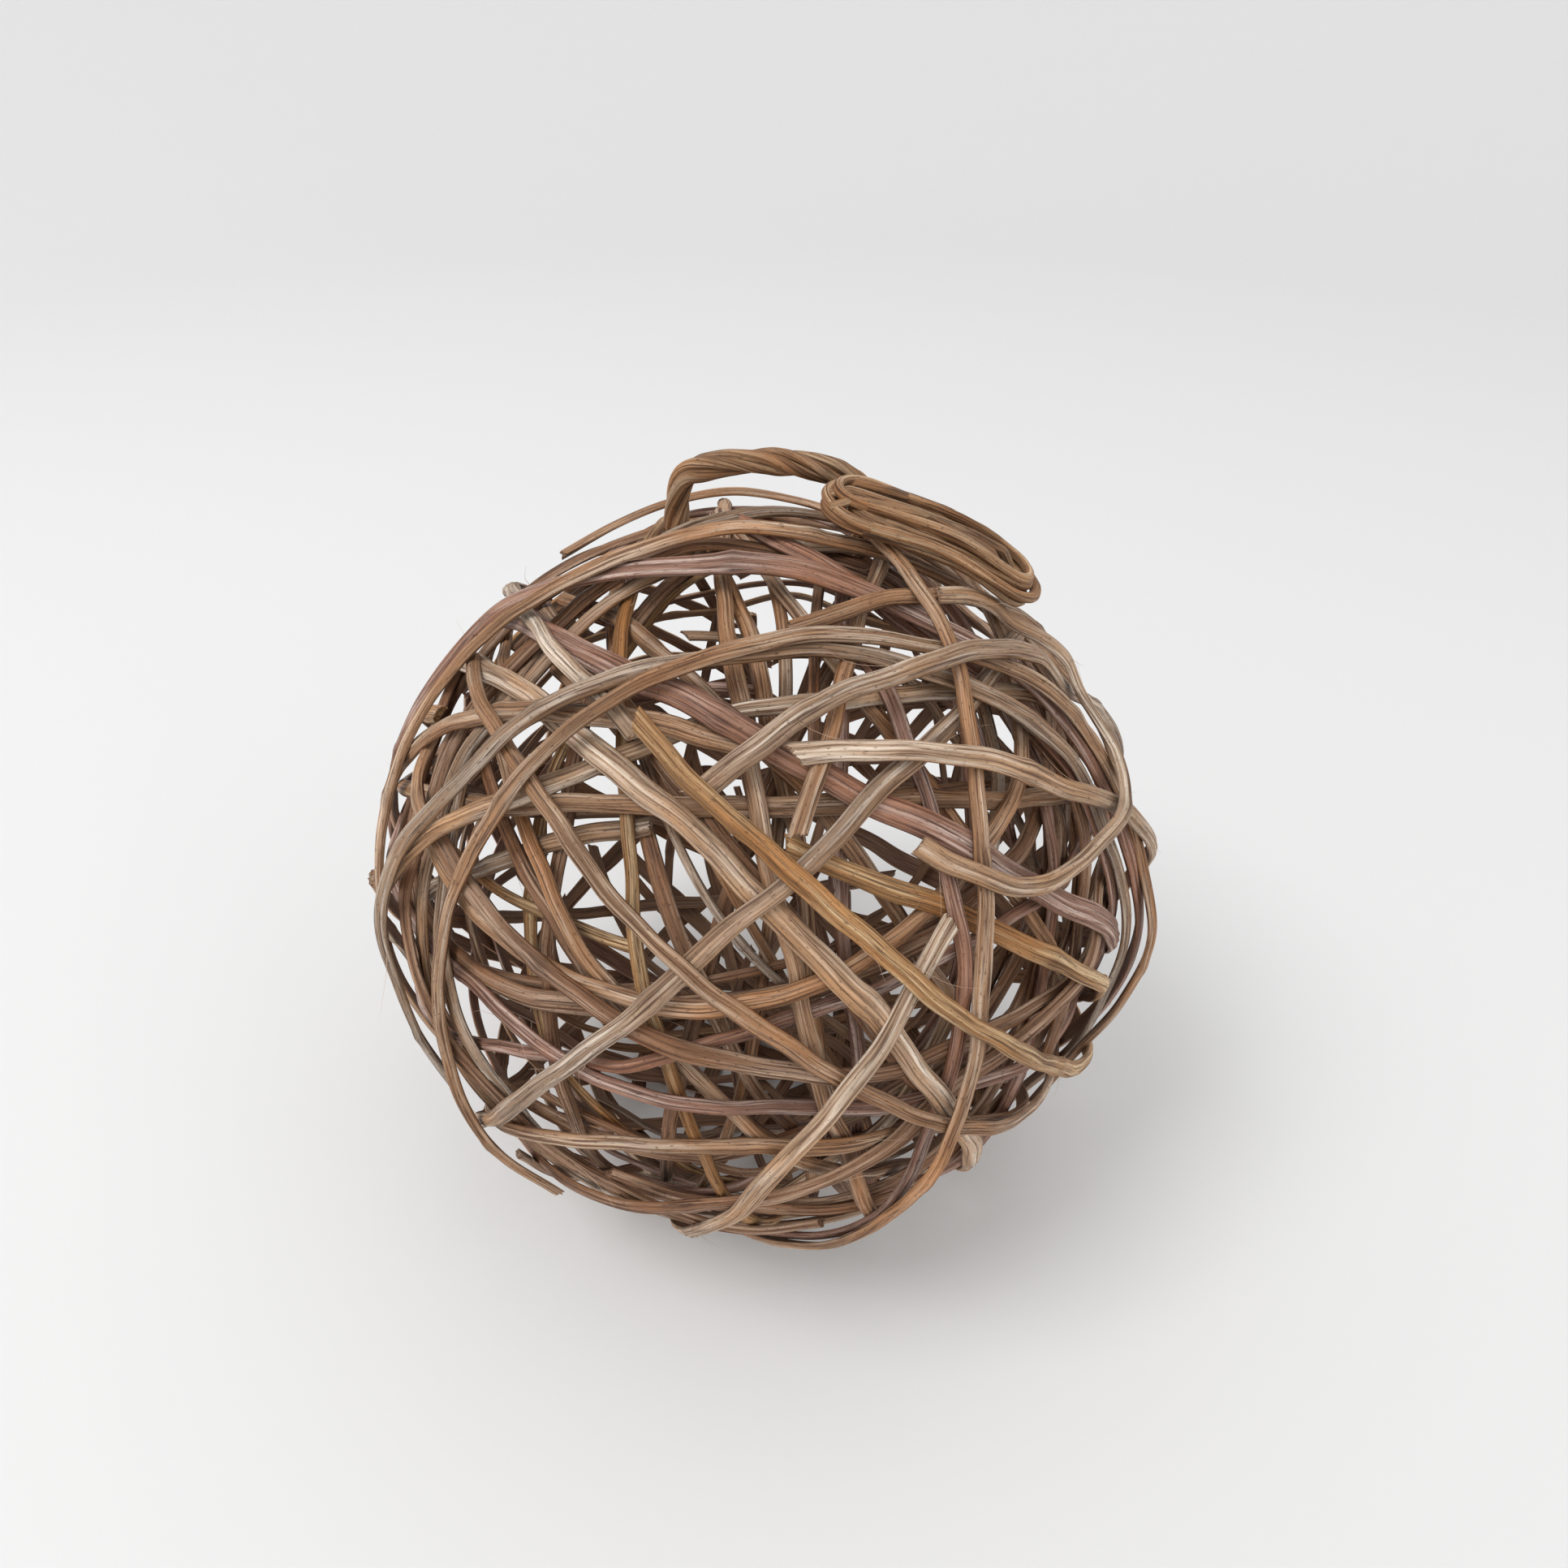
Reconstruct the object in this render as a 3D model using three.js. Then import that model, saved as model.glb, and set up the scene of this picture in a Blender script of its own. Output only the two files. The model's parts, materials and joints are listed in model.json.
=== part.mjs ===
// A hollow ball wound from split vine strips, with a twisted vine handle arched over its top
// and a folded bundle of vine lying in front of the handle's right foot. Units are millimetres, +Z is up,
// the ball stands on the flat spots of its lowest strips at z = 0, and its front faces -Y.
import * as THREE from "three";

// Ball
const ballRadius = 142; // from the centre to the middle of the wound wall
const stripThickness = 2.5; // a split vine, flat inside and rounded outside
const stripCrown = 0.68; // share of a strip's width that its outer face keeps
const stripStep = THREE.MathUtils.degToRad(13); // one straight length of a strip
const crownRise = 9; // the wall bulges by this much under the handle
const crownSpread = 0.4; // and over this many radians round it
const strayLength = 2.5; // how far a strip wanders sideways from its plane
const floorDepth = 139.5; // from the ball's centre to the floor that presses its foot flat

// Laying the strips over each other
const layingGap = 0.35;
const floorGap = 1; // and this much more near the floor, where the pressed strips turn
const floorTouch = 0.05; // a strip this near the floor lies on it
const layingRounds = 900;
const stiffness = 0.1;
const drawIn = 0.012;

// Handle
const handleStrands = 4;
const strandRadius = 1.6;
const strandSpread = 2.6; // from the rope's middle to each strand's middle
const strandSides = 5;
const strandSteps = 24;
const handleTurns = 1.5;
const leftFoot = new THREE.Vector3(-26, 12, 147); // where the rope comes out of the ball
const rightFoot = new THREE.Vector3(40, 9, 145);
const handleRise = 22; // from the feet to the middle of the rope at its highest
const handleFullness = 0.5; // below 1 the arch is squarer than an ellipse
const handleDepth = 18; // how far the rope goes on into the ball
const footClearance = 5; // from the rope's middle to the edge of a strip beside it

// Lashing: two long loops one inside the other, two more on top of them, and two loose
// strands in the space between
const lashingRadius = 1.75;
const lashingPitch = 3.9; // from one strand to the next
const lashingStart = new THREE.Vector3(37, -10, 151); // the middle of its wide end, by the rope
const lashingTip = new THREE.Vector3(92, -17, 128); // the bundle's far end points this way
const layerStep = lashingPitch * Math.sqrt(0.75) + 0.3; // from one layer to the next
const lashingArcRadius = 158; // where the lengths along and across it are measured
const loopLength = 49; // from the middle of the wide end to the middle of the bend at the tip
const loopStartRadius = 8.8; // the innermost loop's bend at the wide end
const loopTipRadius = 5.8; // and at the tip
const loopSteps = 28;
const tailSpread = 2.1; // from the bundle's middle line to each loose strand
const tailEnds = [9.5, 35];
const tailSteps = 8;
const lashingSides = 5;

const barkColours = {
  tan: 0x9a7757,
  grey: 0x8d7a68,
  mauve: 0x8a6a5f,
  orange: 0xa3743f,
  pale: 0xb39d86,
  brown: 0x6f4e38,
};

// Every strip in the order in which it was laid. It runs round the ball in a plane: lean is the
// tilt of that plane, turn is the heading of its axis and shift is how far it lies off the
// centre. The strip starts at the angle from, counted round the plane from its level line,
// and goes on for sweep degrees.
const windings = [
  { name: "foot_vine_1", lean: 26, turn: -126, shift: 35, width: 7, from: -190, sweep: 280, bark: "brown" },
  { name: "upright_vine_1", lean: 80, turn: -29, shift: 0, width: 5.4, from: 50, sweep: 260, bark: "brown" },
  { name: "belt_vine_1", lean: 46, turn: 100, shift: 0, width: 6, from: -130, sweep: 200, bark: "grey" },
  { name: "upright_vine_2", lean: 57, turn: -154, shift: 5, width: 5.4, from: -100, sweep: 240, bark: "pale" },
  { name: "upright_vine_3", lean: 87, turn: 12, shift: -5, width: 5.4, from: 60, sweep: 290, bark: "tan" },
  { name: "falling_vine_1", lean: 71, turn: 41, shift: -10, width: 5.4, from: 72, sweep: 250, bark: "tan" },
  { name: "belt_vine_2", lean: 11, turn: -150, shift: 60, width: 8, from: -170, sweep: 280, bark: "brown" },
  { name: "falling_vine_2", lean: 58, turn: 25, shift: 5, width: 6, from: 60, sweep: 280, bark: "brown" },
  { name: "falling_vine_3", lean: 47, turn: 3, shift: -5, width: 5.4, from: 30, sweep: 260, bark: "brown" },
  { name: "falling_vine_4", lean: 44, turn: -7, shift: 15, width: 5.4, from: 20, sweep: 250, bark: "tan" },
  { name: "rim_vine_1", lean: 56, turn: -98, shift: 72, width: 7, from: -250, sweep: 330, bark: "brown" },
  { name: "rim_vine_2", lean: 46, turn: -84, shift: 60, width: 7, from: -120, sweep: 320, bark: "brown" },
  { name: "upright_vine_4", lean: 72, turn: -9, shift: 5, width: 4.6, from: 60, sweep: 240, bark: "orange" },
  { name: "upright_vine_5", lean: 65, turn: -125, shift: 20, width: 6, from: -130, sweep: 270, bark: "mauve" },
  { name: "falling_vine_5", lean: 56, turn: 17, shift: 80, width: 5.4, from: 62, sweep: 240, bark: "tan" },
  { name: "belt_vine_3", lean: 23, turn: 131, shift: 0, width: 4.6, from: -80, sweep: 310, bark: "mauve" },
  { name: "belt_vine_4", lean: 13, turn: 18, shift: 5, width: 5.4, from: 40, sweep: 320, bark: "mauve" },
  { name: "belt_vine_5", lean: 32, turn: 88, shift: 35, width: 6.5, from: -90, sweep: 330, bark: "tan" },
  { name: "upright_vine_6", lean: 77, turn: 4, shift: 20, width: 6, from: 80, sweep: 300, bark: "tan" },
  { name: "crown_vine_1", lean: 63, turn: -68, shift: 55, width: 6, from: 20, sweep: 270, bark: "grey" },
  { name: "crown_vine_2", lean: 70, turn: -72, shift: 55, width: 5.4, from: 40, sweep: 230, bark: "grey" },
  { name: "rim_vine_3", lean: 60, turn: -88, shift: 84, width: 7, from: -30, sweep: 310, bark: "brown" },
  { name: "belt_vine_6", lean: 23, turn: -104, shift: 100, width: 6, from: -170, sweep: 310, bark: "tan" },
  { name: "belt_vine_7", lean: 19, turn: -45, shift: 65, width: 6.5, from: -200, sweep: 310, bark: "brown" },
  { name: "belt_vine_8", lean: 43, turn: 92, shift: -95, width: 6, from: -40, sweep: 300, bark: "tan" },
  { name: "rising_vine_1", lean: 27, turn: 178, shift: -25, width: 7.5, from: -150, sweep: 320, bark: "brown" },
  { name: "upright_vine_7", lean: 82, turn: 66, shift: 10, width: 9, from: 90, sweep: 290, bark: "mauve" },
  { name: "falling_vine_6", lean: 46, turn: 57, shift: 5, width: 7, from: 118, sweep: 300, bark: "orange" },
  { name: "belt_vine_9", lean: 60, turn: 105, shift: -5, width: 6, from: -10, sweep: 250, bark: "pale" },
  { name: "upright_vine_8", lean: 75, turn: -136, shift: 45, width: 5.4, from: -190, sweep: 260, bark: "mauve" },
  { name: "falling_vine_7", lean: 62, turn: 38, shift: -25, width: 8, from: 30, sweep: 300, bark: "pale" },
  { name: "belt_vine_10", lean: 68, turn: 71, shift: -35, width: 7, from: -120, sweep: 222, bark: "tan" },
  { name: "falling_vine_8", lean: 45, turn: 47, shift: 40, width: 9, from: 66, sweep: 300, bark: "mauve" },
  { name: "hooked_vine", lean: 50, turn: 26, shift: 20, width: 6, from: 20, sweep: 95, bark: "pale" },
  { name: "upright_vine_9", lean: 75, turn: 172, shift: -5, width: 5.4, from: 44, sweep: 230, bark: "tan" },
  { name: "rising_vine_2", lean: 53, turn: 149, shift: 0, width: 6.5, from: -200, sweep: 305, bark: "grey" },
  { name: "falling_vine_9", lean: 38, turn: 12, shift: 25, width: 5.6, from: 92, sweep: 300, bark: "tan" },
  { name: "crown_vine_3", lean: 89, turn: -84, shift: 65, width: 6, from: -60, sweep: 260, bark: "grey" },
  { name: "crown_vine_4", lean: 86, turn: 79, shift: -20, width: 9, from: -20, sweep: 330, bark: "mauve" },
  { name: "crown_vine_5", lean: 88, turn: -81, shift: 20, width: 6, from: -50, sweep: 340, bark: "tan" },
  { name: "crown_vine_6", lean: 71, turn: 117, shift: -5, width: 6, from: 84, sweep: 200, bark: "tan" },
  { name: "crown_vine_7", lean: 80, turn: -78, shift: 80, width: 5.4, from: -40, sweep: 260, bark: "tan" },
  { name: "upright_vine_10", lean: 71, turn: -147, shift: 20, width: 5.6, from: -200, sweep: 282, bark: "tan" },
  { name: "belt_vine_11", lean: 58, turn: 91, shift: -15, width: 7, from: 94, sweep: 280, bark: "pale" },
  { name: "rising_vine_3", lean: 77, turn: 122, shift: -50, width: 7, from: 61, sweep: 280, bark: "grey" },
  { name: "rising_vine_4", lean: 62, turn: 164, shift: -45, width: 7, from: -230, sweep: 278, bark: "pale" },
  { name: "falling_vine_10", lean: 44, turn: 21, shift: 40, width: 6.5, from: 117, sweep: 210, bark: "orange" },
  { name: "rising_vine_5", lean: 44, turn: -41, shift: 134, width: 6.5, from: -165, sweep: 240, bark: "pale" },
  { name: "foot_vine_2", lean: 1, turn: 0, shift: -131, width: 7, from: 150, sweep: 310, bark: "brown" },
];

// A strip's own directions: its plane's axis, the level line and the line up the slope.
function planeOf(vine) {
  const lean = THREE.MathUtils.degToRad(vine.lean);
  const turn = THREE.MathUtils.degToRad(vine.turn);
  const axis = new THREE.Vector3(Math.cos(turn), Math.sin(turn), 0).multiplyScalar(Math.sin(lean));
  axis.z = Math.cos(lean);
  const level = new THREE.Vector3(-Math.sin(turn), Math.cos(turn), 0);
  const slope = new THREE.Vector3().crossVectors(axis, level);
  return { axis, level, slope };
}

function bend(vine, angle) {
  let side = Math.asin(vine.shift / ballRadius);
  side += (strayLength / ballRadius) * Math.sin(2 * angle + vine.phase);
  for (const dodge of vine.dodges) {
    const away = Math.atan2(Math.sin(angle - dodge.angle), Math.cos(angle - dodge.angle));
    side += dodge.size * Math.exp(-((away / dodge.spread) ** 2));
  }
  return side;
}

// The direction from the ball's centre to a point on a strip, offset sideways by an arc.
function directionOn(vine, angle, offset = 0) {
  const side = bend(vine, angle) + offset / ballRadius;
  return new THREE.Vector3()
    .addScaledVector(vine.level, Math.cos(angle) * Math.cos(side))
    .addScaledVector(vine.slope, Math.sin(angle) * Math.cos(side))
    .addScaledVector(vine.axis, Math.sin(side));
}

// Where a direction falls on a strip: the angle round it and the arc beside its middle.
function placeOn(vine, direction) {
  const angle = Math.atan2(direction.dot(vine.slope), direction.dot(vine.level));
  const side = Math.asin(THREE.MathUtils.clamp(direction.dot(vine.axis), -1, 1));
  return { angle, offset: (side - bend(vine, angle)) * ballRadius };
}

// A strip bends aside where it would run through a foot of the handle.
function dodgeFeet(vine) {
  for (const foot of [leftFoot, rightFoot]) {
    const { angle, offset } = placeOn(vine, foot.clone().normalize());
    const clear = vine.width / 2 + footClearance;
    if (Math.abs(offset) >= clear) continue;
    const push = offset > 0 ? offset - clear : offset + clear;
    vine.dodges.push({ angle, size: push / ballRadius, spread: 0.3 });
  }
}

// The wall's middle in a direction, before the strips push each other out or in.
function restRadius(direction) {
  const crown = leftFoot.clone().add(rightFoot);
  return ballRadius + crownRise * Math.exp(-((direction.angleTo(crown) / crownSpread) ** 2));
}

function prepare(winding, order) {
  const vine = { ...winding, ...planeOf(winding), order, phase: 2.4 * order, dodges: [] };
  vine.start = THREE.MathUtils.degToRad(vine.from);
  vine.length = THREE.MathUtils.degToRad(vine.sweep);
  vine.count = Math.round(vine.length / stripStep);
  vine.step = vine.length / vine.count;
  dodgeFeet(vine);
  vine.rest = Array.from({ length: vine.count + 1 }, (_, i) => {
    return restRadius(directionOn(vine, vine.start + i * vine.step));
  });
  vine.radii = Float64Array.from(vine.rest);
  return vine;
}

// The place along a strip as its section number and the share of the way to the next one.
function stationAt(vine, along) {
  const station = along / vine.step;
  const index = Math.min(Math.floor(station), vine.count - 1);
  return { index, share: station - index };
}

// The same for an angle round its plane, or nothing where the strip doesn't reach.
function stationOf(vine, angle) {
  const round = 2 * Math.PI;
  const along = (((angle - vine.start) % round) + round) % round;
  return along > vine.length ? undefined : stationAt(vine, along);
}

// A straight length lies inside its arc by this much at a given share of the way.
function sag(vine, share) {
  return 0.5 * ballRadius * share * (1 - share) * vine.step ** 2;
}

// Every place where the first strip lies over the second, sampled across its width.
function contactsBetween(first, second) {
  const contacts = [];
  const spacing = 2 / ballRadius;
  const reach = second.width / 2 + 0.9;
  const steps = Math.ceil(first.length / spacing);
  for (let i = 0; i <= steps; i += 1) {
    const along = (first.length * i) / steps;
    const angle = first.start + along;
    const here = stationAt(first, along);
    for (const across of [-0.5, -0.25, 0, 0.25, 0.5]) {
      const place = placeOn(second, directionOn(first, angle, across * first.width));
      if (Math.abs(place.offset) > reach) continue;
      const there = stationOf(second, place.angle);
      if (!there) continue;
      const sinks = sag(first, here.share) - sag(second, there.share);
      const upper = { vine: first, ...here };
      const lower = { vine: second, ...there };
      const low = directionOn(first, angle).z < -0.93;
      const gap = low ? layingGap + floorGap : layingGap;
      contacts.push({ upper, lower, need: stripThickness + gap + sinks });
    }
  }
  return contacts;
}

function radiusAt({ vine, index, share }) {
  return vine.radii[index] * (1 - share) + vine.radii[index + 1] * share;
}

function lift({ vine, index, share }, amount) {
  const weight = amount / ((1 - share) ** 2 + share ** 2);
  vine.radii[index] += weight * (1 - share);
  vine.radii[index + 1] += weight * share;
}

function separate(contacts) {
  for (const { upper, lower, need } of contacts) {
    const short = need - (radiusAt(upper) - radiusAt(lower));
    if (short <= 0) continue;
    lift(upper, short / 2);
    lift(lower, -short / 2);
  }
}

// Vines are stiff: a strip runs smoothly and is drawn back to the ball's radius.
function straighten(vine, strength) {
  const before = Float64Array.from(vine.radii);
  const last = vine.count;
  for (let i = 0; i <= last; i += 1) {
    const previous = before[Math.max(i - 1, 0)];
    const next = before[Math.min(i + 1, last)];
    vine.radii[i] += strength * ((previous + next) / 2 - before[i]);
    vine.radii[i] += strength * (drawIn / stiffness) * (vine.rest[i] - before[i]);
  }
}

// Near the foot of the ball no strip reaches below the floor.
function pressOnFloor(vine) {
  for (let i = 0; i <= vine.count; i += 1) {
    const direction = directionOn(vine, vine.start + i * vine.step);
    if (direction.z > -0.9) continue;
    const highest = (floorDepth - stripThickness / 2) / -direction.z;
    vine.radii[i] = Math.min(vine.radii[i], highest);
  }
}

function layStrips(vines) {
  const contacts = [];
  vines.forEach((first, i) => {
    for (const second of vines.slice(0, i)) contacts.push(...contactsBetween(first, second));
  });
  for (let round = 0; round < layingRounds; round += 1) {
    const easing = Math.max(0, 1 - round / (layingRounds * 0.8));
    vines.forEach((vine) => straighten(vine, stiffness * easing));
    vines.forEach(pressOnFloor);
    separate(contacts);
  }
}

// A closed solid through a row of sections, each a loop of points that runs anticlockwise
// when seen from the end. A ring of sections closes on itself; otherwise both ends are capped.
function sweptSolid(sections, ring) {
  const sides = sections[0].length;
  const points = sections.flat();
  const faces = [];
  const spans = ring ? sections.length : sections.length - 1;
  for (let i = 0; i < spans; i += 1) {
    const here = i * sides;
    const there = ((i + 1) % sections.length) * sides;
    for (let j = 0; j < sides; j += 1) {
      const k = (j + 1) % sides;
      faces.push(here + j, here + k, there + k, here + j, there + k, there + j);
    }
  }
  if (!ring) {
    const last = (sections.length - 1) * sides;
    for (let j = 1; j < sides - 1; j += 1) {
      faces.push(0, j + 1, j, last, last + j, last + j + 1);
    }
  }
  const geometry = new THREE.BufferGeometry().setFromPoints(points);
  geometry.setIndex(faces);
  geometry.computeVertexNormals();
  return geometry;
}

// Where a strip is pressed on the floor, its section turns so that the outer face is level.
function stripSection(vine, i) {
  const angle = vine.start + i * vine.step;
  const nudge = 0.01;
  const outward = directionOn(vine, angle);
  const along = directionOn(vine, angle + nudge).sub(directionOn(vine, angle - nudge));
  const centre = outward.clone().multiplyScalar(vine.radii[i]);
  const pressed = centre.z < stripThickness / 2 + floorTouch - floorDepth;
  if (pressed) outward.set(0, 0, -1);
  const sideways = new THREE.Vector3().crossVectors(outward, along).normalize();
  const half = vine.width / 2;
  const corners = [
    [half, -stripThickness / 2],
    [half * stripCrown, stripThickness / 2],
    [-half * stripCrown, stripThickness / 2],
    [-half, -stripThickness / 2],
  ];
  return corners.map(([across, height]) => {
    const corner = centre.clone().addScaledVector(sideways, across);
    corner.addScaledVector(outward, height);
    corner.z = Math.max(corner.z, -floorDepth);
    return corner;
  });
}

function bark(name, roughness = 0.8) {
  return new THREE.MeshStandardMaterial({ color: barkColours[name], roughness, metalness: 0 });
}

function stripMesh(vine) {
  const sections = Array.from({ length: vine.count + 1 }, (_, i) => stripSection(vine, i));
  const mesh = new THREE.Mesh(sweptSolid(sections, false), bark(vine.bark));
  mesh.name = vine.name;
  return mesh;
}

// The middle line of the handle's rope: a low arch on two feet that go on into the ball.
function handlePath() {
  const middle = leftFoot.clone().lerp(rightFoot, 0.5);
  const toRight = rightFoot.clone().sub(middle);
  const points = [leftFoot.clone().setLength(leftFoot.length() - handleDepth)];
  const stops = 8;
  for (let i = 0; i <= stops; i += 1) {
    const angle = (Math.PI * i) / stops;
    const point = middle.clone().addScaledVector(toRight, -Math.cos(angle));
    point.z += handleRise * Math.sin(angle) ** handleFullness;
    points.push(point);
  }
  points.push(rightFoot.clone().setLength(rightFoot.length() - handleDepth));
  return new THREE.CatmullRomCurve3(points);
}

// A round section across a path: outward and sideways span its plane.
function roundSection(centre, outward, sideways, radius, sides) {
  return Array.from({ length: sides }, (_, j) => {
    const angle = (2 * Math.PI * j) / sides;
    return centre
      .clone()
      .addScaledVector(sideways, radius * Math.cos(angle))
      .addScaledVector(outward, radius * Math.sin(angle));
  });
}

function handleStrand(number, path) {
  const frames = path.computeFrenetFrames(strandSteps, false);
  const begin = (2 * Math.PI * number) / handleStrands;
  const sections = frames.tangents.map((_, i) => {
    const turn = begin + (2 * Math.PI * handleTurns * i) / strandSteps;
    const outward = frames.normals[i].clone().multiplyScalar(Math.cos(turn));
    outward.addScaledVector(frames.binormals[i], Math.sin(turn));
    const sideways = new THREE.Vector3().crossVectors(outward, frames.tangents[i]);
    const centre = path.getPointAt(i / strandSteps).addScaledVector(outward, strandSpread);
    return roundSection(centre, outward, sideways, strandRadius, strandSides);
  });
  const mesh = new THREE.Mesh(sweptSolid(sections, false), bark("tan"));
  mesh.name = `handle_strand_${number + 1}`;
  return mesh;
}

// The outermost face of the wound wall within a short reach of a direction.
function wallTop(vines, direction, reach) {
  let top = ballRadius;
  for (const vine of vines) {
    const place = placeOn(vine, direction);
    if (Math.abs(place.offset) > vine.width / 2 + reach) continue;
    for (const ahead of [-reach, 0, reach]) {
      const station = stationOf(vine, place.angle + ahead / ballRadius);
      if (station) top = Math.max(top, radiusAt({ vine, ...station }) + stripThickness / 2);
    }
  }
  return top;
}

// A direction over the ball, by its arcs along and across the bundle.
function overBundle(along, across) {
  const start = lashingStart.clone().normalize();
  const hinge = new THREE.Vector3().crossVectors(start, lashingTip).normalize();
  const direction = start.applyAxisAngle(hinge, along / lashingArcRadius);
  const forward = new THREE.Vector3().crossVectors(hinge, direction);
  return direction.applyAxisAngle(forward, across / lashingArcRadius);
}

// The radius of the bundle's underside along its length. It rests on the highest strips
// under it and bridges straight from one to the next.
function bundleBed(vines) {
  const spacing = 5;
  const first = -15;
  const halfWidth = loopStartRadius + 2 * lashingPitch;
  const wall = [];
  for (let along = first; along <= loopLength + 20; along += spacing) {
    let top = 0;
    for (let across = -halfWidth; across <= halfWidth; across += 3) {
      top = Math.max(top, wallTop(vines, overBundle(along, across), spacing / 2));
    }
    wall.push(top);
  }
  let bed = wall;
  for (let round = 0; round < 100; round += 1) {
    bed = bed.map((height, i) => {
      const before = bed[Math.max(i - 1, 0)];
      const after = bed[Math.min(i + 1, bed.length - 1)];
      return Math.max(wall[i], (before + after) / 2);
    });
  }
  return (along) => {
    const place = THREE.MathUtils.clamp((along - first) / spacing, 0, bed.length - 1.001);
    const index = Math.floor(place);
    return THREE.MathUtils.lerp(bed[index], bed[index + 1], place - index);
  };
}

// One strand of the lashing along a route of points (along, across) in a layer of the bundle.
function lashingStrand(name, route, layer, ring, bed) {
  const centres = route.map(({ x, y }) => {
    const radius = bed(x) + lashingRadius + layingGap + layer * layerStep;
    return overBundle(x, y).multiplyScalar(radius);
  });
  const last = centres.length - 1;
  const sections = centres.map((centre, i) => {
    const before = centres[i > 0 ? i - 1 : ring ? last : 0];
    const after = centres[i < last ? i + 1 : ring ? 0 : last];
    const along = after.clone().sub(before).normalize();
    const sideways = new THREE.Vector3().crossVectors(centre, along).normalize();
    const outward = new THREE.Vector3().crossVectors(along, sideways);
    return roundSection(centre, outward, sideways, lashingRadius, lashingSides);
  });
  const mesh = new THREE.Mesh(sweptSolid(sections, ring), bark("tan"));
  mesh.name = name;
  return mesh;
}

// A loop like a belt round two wheels, one at each end of the bundle, some pitches outside
// the innermost one.
function loopRoute(pitches) {
  const grow = pitches * lashingPitch;
  const lean = Math.acos((loopStartRadius - loopTipRadius) / loopLength);
  const belt = new THREE.Path();
  belt.absarc(0, 0, loopStartRadius + grow, lean, 2 * Math.PI - lean, false);
  belt.absarc(loopLength, 0, loopTipRadius + grow, -lean, lean, false);
  belt.closePath();
  return belt.getSpacedPoints(loopSteps).slice(0, loopSteps);
}

function tailRoute(across) {
  const [begin, end] = tailEnds;
  return Array.from({ length: tailSteps + 1 }, (_, i) => {
    return new THREE.Vector2(THREE.MathUtils.lerp(begin, end, i / tailSteps), across);
  });
}

function addLashing(ball, vines) {
  const bed = bundleBed(vines);
  ball.add(lashingStrand("lashing_loop_1", loopRoute(0), 0, true, bed));
  ball.add(lashingStrand("lashing_loop_2", loopRoute(1), 0, true, bed));
  ball.add(lashingStrand("lashing_loop_3", loopRoute(0.5), 1, true, bed));
  ball.add(lashingStrand("lashing_loop_4", loopRoute(1.5), 1, true, bed));
  ball.add(lashingStrand("lashing_tail_1", tailRoute(tailSpread), 0, false, bed));
  ball.add(lashingStrand("lashing_tail_2", tailRoute(-tailSpread), 0, false, bed));
}

// Moves the parts so that the floor is at z = 0 and the bounding box stands on the origin.
function standOnFloor(ball) {
  const box = new THREE.Box3().setFromObject(ball);
  const middle = box.getCenter(new THREE.Vector3());
  for (const part of ball.children) part.geometry.translate(-middle.x, -middle.y, -box.min.z);
}

const vines = windings.map(prepare);
layStrips(vines);
const ball = new THREE.Group();
vines.forEach((vine) => ball.add(stripMesh(vine)));
const path = handlePath();
for (let i = 0; i < handleStrands; i += 1) ball.add(handleStrand(i, path));
addLashing(ball, vines);
standOnFloor(ball);

export default ball;
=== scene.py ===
# A hollow ball wound from split vine, with its twisted handle and the lashing beside it.
# The fine strips follow the CAD nodes of the frame. Metres, +Z is up, the front faces -Y.
import json
import math
import bmesh
import bpy
import numpy as np
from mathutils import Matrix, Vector


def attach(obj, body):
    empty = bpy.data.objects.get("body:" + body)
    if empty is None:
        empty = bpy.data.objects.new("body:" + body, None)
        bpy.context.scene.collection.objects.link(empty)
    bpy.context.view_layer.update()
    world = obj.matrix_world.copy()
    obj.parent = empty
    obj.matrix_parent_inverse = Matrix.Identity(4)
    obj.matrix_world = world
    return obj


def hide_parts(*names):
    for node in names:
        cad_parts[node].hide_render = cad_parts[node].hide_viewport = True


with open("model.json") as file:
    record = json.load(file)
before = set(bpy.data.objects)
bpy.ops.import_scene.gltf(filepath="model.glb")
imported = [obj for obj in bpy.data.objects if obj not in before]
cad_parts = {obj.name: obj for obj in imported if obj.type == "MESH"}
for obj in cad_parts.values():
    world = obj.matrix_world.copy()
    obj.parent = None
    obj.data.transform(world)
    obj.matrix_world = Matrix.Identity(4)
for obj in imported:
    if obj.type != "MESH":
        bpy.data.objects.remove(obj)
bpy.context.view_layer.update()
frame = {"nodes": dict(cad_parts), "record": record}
slotOf = {part["node"]: part["material_slot"] for part in frame["record"]["subparts"]}
ballCentre = np.array([-0.00165, 0.00374, 0.1395])
wallRadius = 0.142  # from the ball's centre to the middle of the wound wall
fullTurn = 2 * math.pi
print("frame loaded with", len(frame["nodes"]), "nodes")


# Small tools

def unit(vectors):
    return vectors / np.linalg.norm(vectors, axis=-1, keepdims=True)


# A smooth line through a row of points or numbers, with some rows to each span.
def smoothThrough(points, rowsPerSpan):
    points = np.asarray(points, float)
    ends = np.concatenate([[2 * points[0] - points[1]], points, [2 * points[-1] - points[-2]]])
    share = np.arange(rowsPerSpan) / rowsPerSpan
    share = share.reshape((-1,) + (1,) * (points.ndim - 1))
    spans = []
    for i in range(len(points) - 1):
        a, b, c, d = ends[i:i + 4]
        bend = (2 * a - 5 * b + 4 * c - d) * share**2 + (3 * b - a - 3 * c + d) * share**3
        spans.append(0.5 * (2 * b + (c - a) * share + bend))
    spans.append(points[-1:])
    return np.concatenate(spans)


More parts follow.
